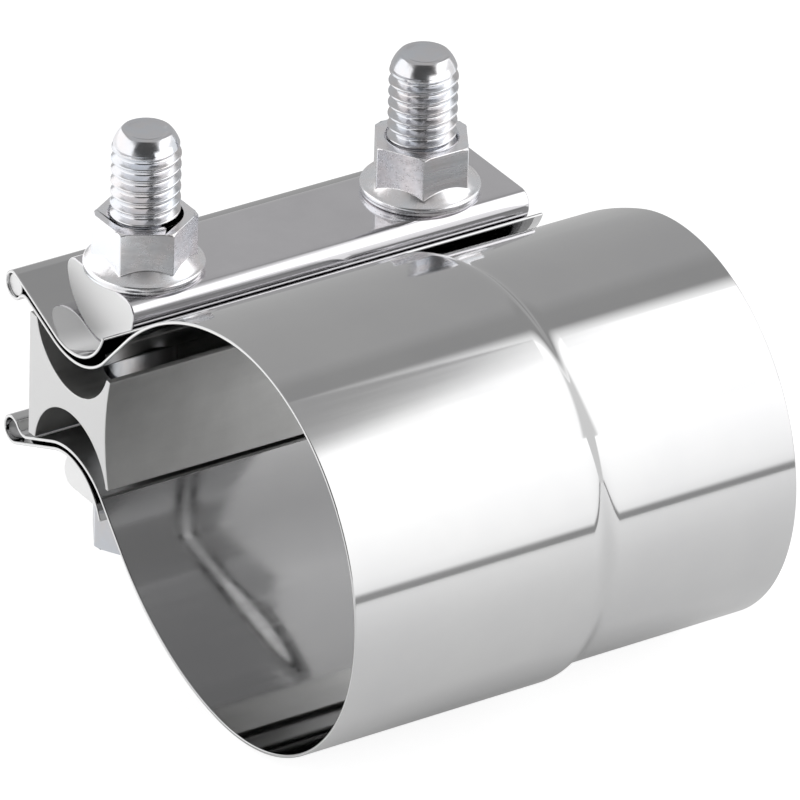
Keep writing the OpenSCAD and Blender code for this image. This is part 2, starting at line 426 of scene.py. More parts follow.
class Wiring:
    """Adds nodes to a node tree and feeds their inputs."""

    def __init__(self, tree: bpy.types.NodeTree) -> None:
        """Starts wiring."""
        self.nodes = tree.nodes
        self.links = tree.links

    def add(
        self, kind: str, feeds: dict | None = None, operation: str | None = None
    ) -> bpy.types.Node:
        """Adds a node.

        Args:
            kind: Blender's name of the node's type.
            feeds: What its inputs get, as for feed.
            operation: What it calculates, where it is a node that calculates.
        """
        node = self.nodes.new(kind)
        if operation:
            node.operation = operation
        self.feed(node, feeds or {})
        return node

    def feed(self, node: bpy.types.Node, feeds: dict) -> None:
        """Feeds a node's inputs.

        Args:
            feeds: For each input's name or number a value or another node's output.
        """
        for key, source in feeds.items():
            if isinstance(source, bpy.types.NodeSocket):
                self.links.new(source, node.inputs[key])
            else:
                node.inputs[key].default_value = source

    def blend(
        self, colours: bool, share: bpy.types.NodeSocket, first: object, second: object
    ) -> bpy.types.NodeSocket:
        """Blends two colours or two numbers.

        Args:
            colours: Whether they are colours.
            share: Share of the second one.
            first: A value or a socket.
            second: A value or a socket.
        """
        mix = self.nodes.new("ShaderNodeMix")
        mix.data_type = "RGBA" if colours else "FLOAT"
        a, b, out = (6, 7, 2) if colours else (2, 3, 0)
        self.feed(mix, {0: share, a: first, b: second})
        return mix.outputs[out]


def surface_wear() -> bpy.types.NodeTree:
    """Returns the node group that gives a surface its faint marks, built once.

    It puts out an uneven mask, fine lines along one direction, and the two together as a
    height, so that no metal here is flawless.
    """
    group = bpy.data.node_groups.get("surface_wear")
    if group:
        return group
    group = bpy.data.node_groups.new("surface_wear", "ShaderNodeTree")
    face = group.interface
    face.new_socket("Place", in_out="INPUT", socket_type="NodeSocketVector")
    for label in ("Patch Scale", "Line Scale", "Line Share"):
        face.new_socket(label, in_out="INPUT", socket_type="NodeSocketFloat")
    for label in ("Patches", "Lines", "Height"):
        face.new_socket(label, in_out="OUTPUT", socket_type="NodeSocketFloat")
    wires = Wiring(group)
    entry = wires.add("NodeGroupInput").outputs
    patches = wires.add("ShaderNodeTexNoise", {
        "Vector": entry["Place"], "Scale": entry["Patch Scale"], "Detail": 4.0, "Roughness": 0.6,
    })
    stretch = wires.add(
        "ShaderNodeMapping", {"Vector": entry["Place"], "Scale": (1.0, 0.04, 1.0)}
    )
    lines = wires.add("ShaderNodeTexNoise", {
        "Vector": stretch.outputs["Vector"], "Scale": entry["Line Scale"], "Detail": 2.0,
    })
    height = wires.blend(False, entry["Line Share"], patches.outputs[0], lines.outputs[0])
    wires.add("NodeGroupOutput", {
        "Patches": patches.outputs[0], "Lines": lines.outputs[0], "Height": height,
    })
    return group


@dataclass(frozen=True)
class MetalFinish:
    """How one metal surface looks.

    Attributes:
        name: Name of the material.
        tone: Colour where the surface is clean.
        stain: Colour where the surface is dull or stained.
        roughness: Lowest and highest roughness.
        patch_scale: Size of the uneven patches, as a noise scale per metre.
        line_scale: Size of the fine lines, as a noise scale per metre.
        line_share: Share of the lines in the height, from 0 to 1.
        relief: Strength of the bump.
        depth: Height of the bump, in millimetres.
        end_tone: Colour of the cut ends, which face along the pipes.
        end_roughness: Roughness of those ends.
    """

    name: str
    tone: tuple[float, float, float]
    stain: tuple[float, float, float]
    roughness: tuple[float, float]
    patch_scale: float
    line_scale: float
    line_share: float
    relief: float
    depth: float
    end_tone: tuple[float, float, float]
    end_roughness: float

    def material(self) -> bpy.types.Material:
        """Builds the material."""
        made = bpy.data.materials.get(self.name)
        if made:
            return made
        made = bpy.data.materials.new(self.name)
        made.use_nodes = True
        wires = Wiring(made.node_tree)
        place_of = wires.add("ShaderNodeTexCoord").outputs
        wear = wires.add("ShaderNodeGroup")
        wear.node_tree = surface_wear()
        wires.feed(wear, {
            "Place": place_of["Object"], "Patch Scale": self.patch_scale,
            "Line Scale": self.line_scale, "Line Share": self.line_share,
        })
        ends = self.cut_ends(wires, place_of["Normal"])
        sharpen = wires.add("ShaderNodeMapRange", {
            "Value": wear.outputs["Patches"], "From Min": 0.35, "From Max": 0.65,
        })
        skin = wires.blend(True, sharpen.outputs["Result"], (*self.tone, 1.0), (*self.stain, 1.0))
        rough = wires.add("ShaderNodeMapRange", {
            "Value": wear.outputs["Lines"], "From Min": 0.3, "From Max": 0.7,
            "To Min": self.roughness[0], "To Max": self.roughness[1],
        })
        bump = wires.add("ShaderNodeBump", {
            "Height": wear.outputs["Height"], "Strength": self.relief,
            "Distance": self.depth * MM,
        })
        wires.feed(wires.nodes["Principled BSDF"], {
            "Metallic": 1.0,
            "Base Color": wires.blend(True, ends, skin, (*self.end_tone, 1.0)),
            "Roughness": wires.blend(False, ends, rough.outputs["Result"], self.end_roughness),
            "Normal": bump.outputs["Normal"],
        })
        return made

    @staticmethod
    def cut_ends(wires: Wiring, normal: bpy.types.NodeSocket) -> bpy.types.NodeSocket:
        """Returns a mask that is 1 on the faces sawn or sheared square to the pipes."""
        parts = wires.add("ShaderNodeSeparateXYZ", {0: normal})
        size = wires.add("ShaderNodeMath", {0: parts.outputs["Y"]}, "ABSOLUTE")
        mask = wires.add("ShaderNodeMapRange", {
            "Value": size.outputs[0], "From Min": 0.93, "From Max": 0.98,
        })
        return mask.outputs["Result"]


POLISHED_SHEET = MetalFinish(
    "polished_sheet", (0.64, 0.64, 0.64), (0.61, 0.61, 0.615), (0.05, 0.09),
    45.0, 900.0, 0.0, 0.12, 0.02, (0.86, 0.86, 0.86), 0.3,
)
POLISHED_BAR = MetalFinish(
    "polished_bar", (0.72, 0.71, 0.73), (0.68, 0.67, 0.69), (0.07, 0.12),
    80.0, 900.0, 0.15, 0.12, 0.02, (0.9, 0.9, 0.9), 0.55,
)
DRAWN_WIRE = MetalFinish(
    "drawn_wire", (0.70, 0.70, 0.70), (0.60, 0.60, 0.60), (0.22, 0.34),
    500.0, 1500.0, 0.5, 0.3, 0.03, (0.85, 0.85, 0.85), 0.5,
)
SAWN_BLOCK = MetalFinish(
    "sawn_block", (0.72, 0.72, 0.71), (0.66, 0.66, 0.65), (0.34, 0.46),
    150.0, 1200.0, 0.2, 0.15, 0.02, (0.74, 0.74, 0.74), 0.55,
)
BLUE_ZINC = MetalFinish(
    "blue_zinc", (0.74, 0.765, 0.81), (0.77, 0.745, 0.75), (0.12, 0.25),
    260.0, 1400.0, 0.3, 0.3, 0.02, (0.8, 0.82, 0.86), 0.25,
)
PEARL_ZINC = MetalFinish(
    "pearl_zinc", (0.93, 0.95, 0.985), (0.96, 0.925, 0.93), (0.20, 0.30),
    260.0, 1400.0, 0.3, 0.2, 0.02, (0.93, 0.95, 0.985), 0.25,
)


def dress(
    piece: bpy.types.Object, finish: MetalFinish, slot: Slot, body: str, *nodes: str
) -> None:
    """Gives a piece its finish and its place in the model.

    Args:
        finish: What its surface looks like.
        slot: The record's slot for its finish, which is not used.
        body: The CAD body that it moves with.
        nodes: The CAD nodes that it stands for.
    """
    piece.data.materials.clear()
    piece.data.materials.append(finish.material())
    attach(piece, body)
    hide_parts(*nodes)
    log.info("%s: %d faces", piece.name, len(piece.data.polygons))


# Band


@dataclass
class Band:
    """The rolled band, with a socket for each pipe, a step between them and folded ears.

    Attributes:
        ring_steps: Edges on a socket's circle, from the side to the crest.
        step_cuts: Cuts across the step.
        rim_break: Width of the broken edges of the sheet.
    """

    ring_steps: int = 110
    step_cuts: int = 20
    rim_break: float = 0.2

    def build(self) -> bpy.types.Object:
        """Builds the band."""
        s = SIZES
        rear_y = s.front_width + s.step_width
        front = self.half_socket(s.front, 0, s.front_width)
        rear = self.half_socket(s.rear, rear_y, s.width - rear_y)
        band = Workshop.join([front, rear])
        self.form_step(band, s.front_width, rear_y)
        self.mirror_half(band)
        self.thicken(band)
        Workshop.drill(band)
        Workshop.finish_edges(band, self.rim_break)
        band.name = "polished_band"
        return band

    def half_socket(self, shape: SocketShape, y: float, length: float) -> bpy.types.Object:
        """Draws the upper half of a socket's sheet, as the middle of its thickness.

        Args:
            shape: The socket's section.
            y: Place where the socket starts.
            length: Length of the socket.
        """
        s = SIZES
        half = s.sheet / 2
        reach = shape.outer_r + s.trough_r
        gain = (s.trough.length_squared - reach**2 - shape.flank_len**2) / (
            2 * (reach - s.trough.dot(rise(shape.crest_slope)))
        )
        crest = -gain * rise(shape.crest_slope)
        flank = (
            heading(s.trough - crest)
            - math.degrees(math.atan2(shape.flank_len, shape.outer_r + gain + s.trough_r))
            - 90
        )
        line = Outline(Vector((shape.outer_r - half, 0)), y)
        line.arc(Vector((0, 0)), 90 + shape.crest_slope, self.ring_steps)
        line.arc(crest, flank - shape.crest_slope, 40)
        line.line_to(s.trough - (s.trough_r + half) * rise(flank), 2)
        line.arc(s.trough, s.fall - flank, 36)
        self.draw_ear(line)
        line.draw_out(length)
        return Workshop.settle("half_socket")

    def draw_ear(self, line: Outline) -> None:
        """Draws the ear's fold, from the trough round the rod to the end of the flap.

        Args:
            line: The line so far, which ends in the trough.
        """
        s = SIZES
        rod_side = heading(s.rod - s.neck)
        line.line_to(s.neck + s.neck_r * rise(s.fall), 2)
        line.arc(s.neck, rod_side - 90 - s.fall, 16)
        line.arc(s.rod, s.fall + 90 - 360 - (rod_side - 180), 56)
        flap_mid = s.flap_r + s.sheet / 2
        line.line_to(s.flap + flap_mid * ray(270 + s.fall), 3)
        line.arc(s.flap, s.flap_end - s.fall, 56)

    def form_step(self, band: bpy.types.Object, front_y: float, rear_y: float) -> None:
        """Bridges the two sockets with a smooth step.

        Args:
            band: Both sockets in one object.
            front_y: Where the front socket ends.
            rear_y: Where the rear socket starts.
        """
        Workshop.pick_up(band)
        for edge in band.data.edges:
            ends = [band.data.vertices[i].co.y / MM for i in edge.vertices]
            edge.select = all(abs(y - front_y) < 1e-3 for y in ends) or all(
                abs(y - rear_y) < 1e-3 for y in ends
            )
        for vertex in band.data.vertices:
            y = vertex.co.y / MM
            vertex.select = min(abs(y - front_y), abs(y - rear_y)) < 1e-3
        for face in band.data.polygons:
            face.select = False
        bpy.ops.object.mode_set(mode="EDIT")
        bpy.ops.mesh.select_mode(type="EDGE")
        bpy.ops.mesh.bridge_edge_loops(
            number_cuts=self.step_cuts, interpolation="SURFACE", smoothness=1.0
        )
        Workshop.put_down()

    def mirror_half(self, band: bpy.types.Object) -> None:
        """Adds the lower half."""
        half = band.modifiers.new("lower_half", "MIRROR")
        half.use_axis = (False, False, True)
        half.use_mirror_merge = True
        half.merge_threshold = SAME_POINT
        Workshop.apply(band, half)
        Workshop.weld(band)

    def thicken(self, band: bpy.types.Object) -> None:
        """Gives the sheet its thickness."""
        sheet = band.modifiers.new("sheet", "SOLIDIFY")
        sheet.thickness = SIZES.sheet * MM
        sheet.offset = 0
        sheet.use_even_offset = True
        sheet.use_rim = True
        Workshop.apply(band, sheet)


# Bars, rods and block


@dataclass
class SaddleBars:
    """The two half-round bars that the bolts clamp against the ears.

    Attributes:
        r: Radius of the round side.
        h: Thickness from the flat side to the round side.
        edge_r: Radius of the edges beside the flat side.
        front_inset: Distance of the front end from the front rim.
        rear_inset: Distance of the rear end from the rear rim.
        end_break: Width of the broken edges at the ends.
    """

    r: float = 9.1
    h: float = 9.8
    edge_r: float = 2.2
    front_inset: float = 5.1
    rear_inset: float = 2.2
    end_break: float = 0.25

    def build(self) -> list[bpy.types.Object]:
        """Builds both bars."""
        s = SIZES
        centre = Vector((s.bolt_x, s.bar_bottom + self.r))
        edge_z = self.h - self.r - self.edge_r
        edge_x = math.sqrt((self.r - self.edge_r) ** 2 - edge_z**2)
        corner = math.degrees(math.atan2(edge_z, edge_x))
        top = centre.y + edge_z + self.edge_r
        line = Outline(Vector((centre.x - edge_x, top)), self.front_inset)
        line.line_to(Vector((centre.x + edge_x, top)))
        line.arc(centre + Vector((edge_x, edge_z)), corner - 90, 14)
        line.arc(centre, -180 - 2 * corner, 150)
        line.arc(centre + Vector((-edge_x, edge_z)), corner - 90, 14)
        upper = line.solid(s.width - self.front_inset - self.rear_inset, "saddle_bar_upper")
        Workshop.drill(upper)
        Workshop.finish_edges(upper, self.end_break)
        lower = Workshop.mirrored(upper, "saddle_bar_lower")
        Workshop.smooth(lower)
        return [upper, lower]


@dataclass
class LoopRods:
    """The wire rods in the rolled loops.

    Attributes:
        insets: How far the upper and the lower rod stay short of the front rim.
        rear_inset: How far both stay short of the rear rim.
        end_break: Width of the broken edges of the sheared ends.
    """

    insets: tuple[float, float] = (0.4, 2.2)
    rear_inset: float = 0.4
    end_break: float = 0.18

    def build(self) -> list[bpy.types.Object]:
        """Builds both rods."""
        s = SIZES
        rods = []
        for name, inset, side in zip(("upper", "lower"), self.insets, (1, -1)):
            end = s.width - self.rear_inset
            middle = place(s.rod_x, (inset + end) / 2, side * s.rod_z)
            rod = Workshop.cylinder(
                "loop_rod_" + name, 72, s.rod_d / 2, end - inset, middle, (90, 0, 0)
            )
            Workshop.finish_edges(rod, self.end_break)
            rods.append(rod)
        return rods


@dataclass
class ReactionBlock:
    """The extruded block between the ears, hollow towards the pipe and the bars.

    Attributes:
        face_r: Radius of the face towards the pipe.
        reach: Distance from the bolts' line to the outer side.
        scoop_r: Radius of the scoops above and below the web.
        scoop_shift: Distance of the scoops' centres from the bolts' line.
        web_top: Height of the web's upper side.
        web_bottom: Depth of the web's lower side.
        horn_z: Height of the horns above the pipes' axis.
        edge_break: Width of the broken edges.
    """

    face_r: float = 34.6
    reach: float = 10.4
    scoop_r: float = 9.8
    scoop_shift: float = 1.0
    web_top: float = 2.3
    web_bottom: float = 1.3
    horn_z: float = 8.7
    edge_break: float = 0.15

    def build(self) -> bpy.types.Object:
        """Builds the block."""
        s = SIZES
        up_scoop, up_leg, up_first, up_last, horn = self.hollow(self.web_top)
        below = self.hollow(self.web_bottom)
        scoop, leg, first, last, _ = (point * Vector((1, -1)) for point in below)
        line = Outline(up_leg, 0)
        line.line_to(up_first)
        line.arc(up_scoop, heading(up_last - up_scoop) - heading(up_first - up_scoop), 60)
        line.line_to(horn)
        line.arc(Vector((0, 0)), 2 * (180 - heading(horn)), 40)
        line.line_to(last)
        line.arc(scoop, heading(first - scoop) - heading(last - scoop), 60)
        line.line_to(leg)
        line.line_to(up_leg)
        block = line.solid(s.width, "reaction_block_body")
        Workshop.drill(block)
        Workshop.finish_edges(block, self.edge_break, 3, 30)
        return block

    def hollow(self, web: float) -> tuple[Vector, ...]:
        """Works out one hollow side above the axis.

        Args:
            web: Height of the web's side.

        Returns:
            The scoop's centre, the leg's end, the two ends of the scoop and the horn's tip.
        """
        s = SIZES
        scoop = Vector((s.bolt_x + self.scoop_shift, web + self.scoop_r))
        fall = rise(s.fall)
        drop = fall.dot(scoop) - (s.layer_level - s.sheet / 2 - s.seat)
        side = scoop - drop * fall + math.sqrt(self.scoop_r**2 - drop**2) * ray(180 + s.fall)
        leg = Vector((s.bolt_x - self.reach, side.y))
        horn = Vector((-math.sqrt(self.face_r**2 - self.horn_z**2), self.horn_z))
        way = (horn - leg).normalized()
        foot = leg + way * way.dot(scoop - leg)
        half = math.sqrt(self.scoop_r**2 - (foot - scoop).length_squared)
        first = foot - way * half
        if (first - leg).dot(way) < 0:
            first = leg.copy()
        return scoop, leg, first, foot + way * half, horn


# Bolts and nuts


@dataclass(frozen=True)
class ThreadForm:
    """The bolts' thread, with the spacing that the photograph shows.

    Attributes:
        major_d: Diameter over the crests.
        pitch: Distance between two turns.
        depth: Depth of the thread.
        steps: Faces round one turn.
        flanks: One turn's section, as shares of the pitch and of the depth.
    """

    major_d: float = 9.96
    pitch: float = 1.75
    depth: float = 0.92
    steps: int = 72
    flanks: tuple[tuple[float, float], ...] = (
        (0.06, 0.00), (0.14, 0.05), (0.19, 0.14), (0.39, 0.86), (0.42, 0.95), (0.47, 1.0),
        (0.53, 1.0), (0.58, 0.95), (0.61, 0.86), (0.81, 0.14), (0.86, 0.05), (0.94, 0.0),
        (1.0, 0.0),
    )

    @property
    def root_r(self) -> float:
        """Radius at the bottom of the thread."""
        return self.major_d / 2 - self.depth

    def rod(self, low: float, high: float, name: str) -> bpy.types.Object:
        """Makes the skin of a threaded rod on the Z axis.

        Args:
            low: Height of its lower end.
            high: Height of its upper end.
        """
        p = self.pitch
        root = self.root_r
        first = math.floor(low / p) - 1
        turns = math.ceil(high / p) + 1 - first
        start = first * p
        line = Outline(Vector((root, start)), 0)
        line.through(*(
            (root + (self.major_d / 2 - root) * out, start + p * along)
            for along, out in self.flanks
        ))
        rod = Workshop.settle(name)
        screw = rod.modifiers.new("thread", "SCREW")
        screw.axis = "Z"
        screw.angle = math.tau
        screw.screw_offset = p * MM
        screw.iterations = turns
        screw.steps = screw.render_steps = self.steps
        screw.use_merge_vertices = True
        screw.merge_threshold = SAME_POINT
        Workshop.apply(rod, screw)
        Workshop.weld(rod)
        Workshop.pick_up(rod)
        bpy.ops.object.mode_set(mode="EDIT")
        for z, way in ((low, -1), (high, 1)):
            bpy.ops.mesh.select_all(action="SELECT")
            bpy.ops.mesh.bisect(
                plane_co=(0, 0, z * MM), plane_no=(0, 0, way), clear_outer=True
            )
        Workshop.put_down()
        return rod


@dataclass
class Fasteners:
    """A bolt and its flange nut, on the Z axis of their own hole.

    Attributes:
        bolt_d: Diameter of the plain shank.
        bolt_len: Length under the head.
        thread_len: Length of the thread, from the tip.
        tip_d: Diameter of the flat on the tip.
        tip_len: Length of the rounded tip.
        smooth_len: Length of the tip that has no thread.
        wrench: Width across the flats.
        chamfer_start: How far outside the flats the chamfers start.
        head_h: Height of the head.
        nut_h: Height of the nut.
        flange_d: Diameter of the nut's flange.
        flange_t: Thickness of the flange at its rim.
        flange_h: Height at which the flange reaches the flats.
        hex_foot: Height where the nut's hexagon starts, inside the flange.
        bolt_break: Width of the broken edges of the bolt's head.
        nut_break: Width of the nut's broken edges.
    """

    bolt_d: float = 10.0
    bolt_len: float = 59.0
    thread_len: float = 26.0
    tip_d: float = 7.0
    tip_len: float = 3.7
    smooth_len: float = 2.0
    wrench: float = 13.0
    chamfer_start: float = 0.48
    head_h: float = 6.4
    nut_h: float = 8.6
    flange_d: float = 17.4
    flange_t: float = 1.4
    flange_h: float = 2.9
    hex_foot: float = 0.5
    bolt_break: float = 0.12
    nut_break: float = 0.13
    thread: ThreadForm = ThreadForm()

    def hexagon(
        self, low: float, high: float, chamfer_up: bool, turn: float
    ) -> bpy.types.Object:
        """Makes a hexagon with one chamfered end.

        Args:
            low: Height of its lower end.
            high: Height of its upper end.
            chamfer_up: Whether the upper end is the chamfered one.
            turn: Direction that one flat faces, in degrees.
        """
        h = high - low
        middle = place(0, 0, (low + high) / 2)
        corner_r = self.wrench / 2 / math.cos(math.radians(30))
        narrow = self.wrench / 2 + self.chamfer_start
        wide = narrow + h / math.tan(math.radians(30))
        Workshop.put_down()
        bpy.ops.mesh.primitive_cone_add(
            vertices=TURNED_SIDES, depth=h * MM, location=middle,
            radius1=(wide if chamfer_up else narrow) * MM,
            radius2=(narrow if chamfer_up else wide) * MM,
        )
        cone = Workshop.settle("chamfer")
        hexagon = Workshop.cylinder("hexagon", 6, corner_r, h, middle, (0, 0, turn))
        Workshop.fit(hexagon, cone, Fit.KEEP_COMMON)
        return hexagon

    def tip_radius(self, z: float) -> float:
        """Returns the tip's radius at a height over the head's underside."""
        width = (self.bolt_d - self.tip_d) / 2
        r = (width**2 + self.tip_len**2) / (2 * width)
        up = max(0.0, z - (self.bolt_len - self.tip_len))
        return self.bolt_d / 2 - r + math.sqrt(r * r - up * up)

    def turn_down(self, rod: bpy.types.Object) -> None:
        """Turns the crests of a threaded skin down to the rounding of the tip."""
        for point in rod.data.vertices:
            limit = (self.tip_radius(point.co.z / MM) - 0.02) * MM
            reach = math.hypot(point.co.x, point.co.y)
            if reach > limit:
                point.co.x *= limit / reach
                point.co.y *= limit / reach

    def core(self, low: float, name: str) -> bpy.types.Object:
        """Makes the bolt's core inside the thread from a height up to the smooth tip."""
        root = self.thread.root_r - 0.02
        top = self.bolt_len
        smooth_from = top - self.smooth_len
        line = Outline(Vector((0, low)), 0)
        line.through((root, low), (root, smooth_from - 0.3))
        steps = 14
        for i in range(steps + 1):
            z = smooth_from + (self.smooth_len - 0.12) * i / steps
            line.line_to(Vector((self.tip_radius(z), z)))
        for inset, depth in ((0.12, 0), (0.4, 0), (0.75, 0.2), (1.5, 0.3)):
            line.line_to(Vector((self.tip_d / 2 - inset, top - depth)))
        line.line_to(Vector((0, top - 0.32)))
        return line.turned(name)

    def bolt(self, y: float, seat: float, name: str) -> bpy.types.Object:
        """Builds one bolt, standing on its head's underside.

        Args:
            y: Place of the bolt along the pipes.
            seat: Height of the head's underside.
        """
        start = self.bolt_len - self.thread_len
        shank = self.thread.rod(start, self.bolt_len - self.smooth_len + 0.2, name)
        self.turn_down(shank)
        Workshop.smooth(shank, 40)
        core = self.core(start - 1, "core")
        Workshop.smooth(core, 30)
        head = self.hexagon(-self.head_h, 0, False, 0)
        middle = place(0, 0, start / 2 - 1)
        plain = Workshop.cylinder("plain_shank", 96, self.bolt_d / 2, start + 2, middle)
        Workshop.fit(head, plain, Fit.JOIN)
        Workshop.finish_edges(head, self.bolt_break, 2, 20)
        return self.stand(Workshop.join([shank, core, head]), y, seat)

    def nut(self, y: float, turn: float, seat: float, name: str) -> bpy.types.Object:
        """Builds one flange nut.

        Args:
            y: Place of the nut along the pipes.
            turn: Direction that a flat faces.
            seat: Height of the flange's underside.
        """
        nut = self.hexagon(self.hex_foot, self.nut_h, True, turn)
        rim, edge_t = self.flange_d / 2, self.flange_t
        line = Outline(Vector((0, 0)), 0)
        line.through(
            (rim - 0.3, 0), (rim - 0.05, 0.2), (rim - 0.12, 0.5), (rim - 0.02, 0.75),
            (rim, edge_t - 0.4), (rim - 0.1, edge_t - 0.14), (rim - 0.35, edge_t),
            (rim - 0.75, edge_t + 0.16), (self.wrench / 2, self.flange_h),
            (0, self.flange_h + 0.1),
        )
        Workshop.fit(nut, line.turned("flange"), Fit.JOIN)
        mouth, hold, top = self.bolt_d / 2 + 0.3, self.bolt_d / 2 - 0.85, self.nut_h
        bore = Outline(Vector((0, -1)), 0)
        bore.through(
            (mouth, -1), (mouth, 0.05), (hold, 1.0), (hold, top - 1.2), (mouth - 0.18, top - 1.0),
            (mouth - 0.1, top - 0.15), (mouth, top - 0.05), (mouth, top + 1), (0, top + 1),
        )
        Workshop.fit(nut, bore.turned("bore"), Fit.CUT)
        Workshop.finish_edges(nut, self.nut_break, 3, 24)
        nut.name = name
        return self.stand(nut, y, seat)

    def stand(self, piece: bpy.types.Object, y: float, seat: float) -> bpy.types.Object:
        """Moves a piece from the origin to its hole.

        Args:
            y: Place along the pipes.
            seat: Height of the piece's own zero.

        Returns:
            The piece, settled in its place.
        """
        name = piece.name
        Workshop.pick_up(piece)
        bpy.ops.transform.translate(value=place(SIZES.bolt_x, y, seat))
        return Workshop.settle(name)


# Studio


def bare_paint(name: str) -> tuple[bpy.types.Material, Wiring]:
    """Makes a material that has no shader yet, with its wiring."""
    paint = bpy.data.materials.new(name)
    paint.use_nodes = True
    wires = Wiring(paint.node_tree)
    wires.nodes.remove(wires.nodes["Principled BSDF"])
    return paint, wires


def grade(ramp: bpy.types.Node, stops: list[tuple[float, float]]) -> None:
    """Fills a colour ramp with greys.

    Args:
        ramp: The colour ramp node.
        stops: Places from 0 to 1 in rising order, each with its brightness.
    """
    marks = ramp.color_ramp.elements
    for i, (where, brightness) in enumerate(stops):
        mark = marks[i] if i < 2 else marks.new(where)
        mark.position = where
        mark.color = (brightness, brightness, brightness, 1)


@dataclass(frozen=True)
class Card:
    """A flat luminous card that the camera doesn't see.

    Its brightness can change along its height, which softens its edges in the metal.

    Attributes:
        name: Name of the card.
        corners: Its corners in metres: left and right foot, right and left top.
        stops: Heights from foot to top, each as a share from 0 to 1, with their radiance.
    """

    name: str
    corners: tuple[tuple[float, float, float], ...]
    stops: tuple[tuple[float, float], ...]

    def stand(self) -> None:
        """Makes the card and stands it in its place."""
        Workshop.put_down()
        bpy.ops.mesh.primitive_grid_add(x_subdivisions=24, y_subdivisions=24, size=1)
        card = Workshop.settle(self.name)
        left_foot, right_foot, right_top, left_top = (Vector(c) for c in self.corners)
        for vertex in card.data.vertices:
            across, up = vertex.co.x + 0.5, vertex.co.y + 0.5
            foot = left_foot.lerp(right_foot, across)
            vertex.co = foot.lerp(left_top.lerp(right_top, across), up)
        card.visible_camera = False
        card.data.materials.append(self.paint())

    def paint(self) -> bpy.types.Material:
        """Makes the card's luminous paint."""
        paint, wires = bare_paint(self.name)
        brightest = max(radiance for _, radiance in self.stops)
        place_of = wires.add("ShaderNodeTexCoord")
        parts = wires.add("ShaderNodeSeparateXYZ", {0: place_of.outputs["UV"]})
        ramp = wires.add("ShaderNodeValToRGB", {0: parts.outputs["Y"]})
        grade(ramp, [(share, radiance / brightest) for share, radiance in self.stops])
        glow = wires.add(
            "ShaderNodeEmission", {"Color": ramp.outputs["Color"], "Strength": brightest}
        )
        wires.feed(wires.nodes["Material Output"], {"Surface": glow.outputs[0]})
        return paint


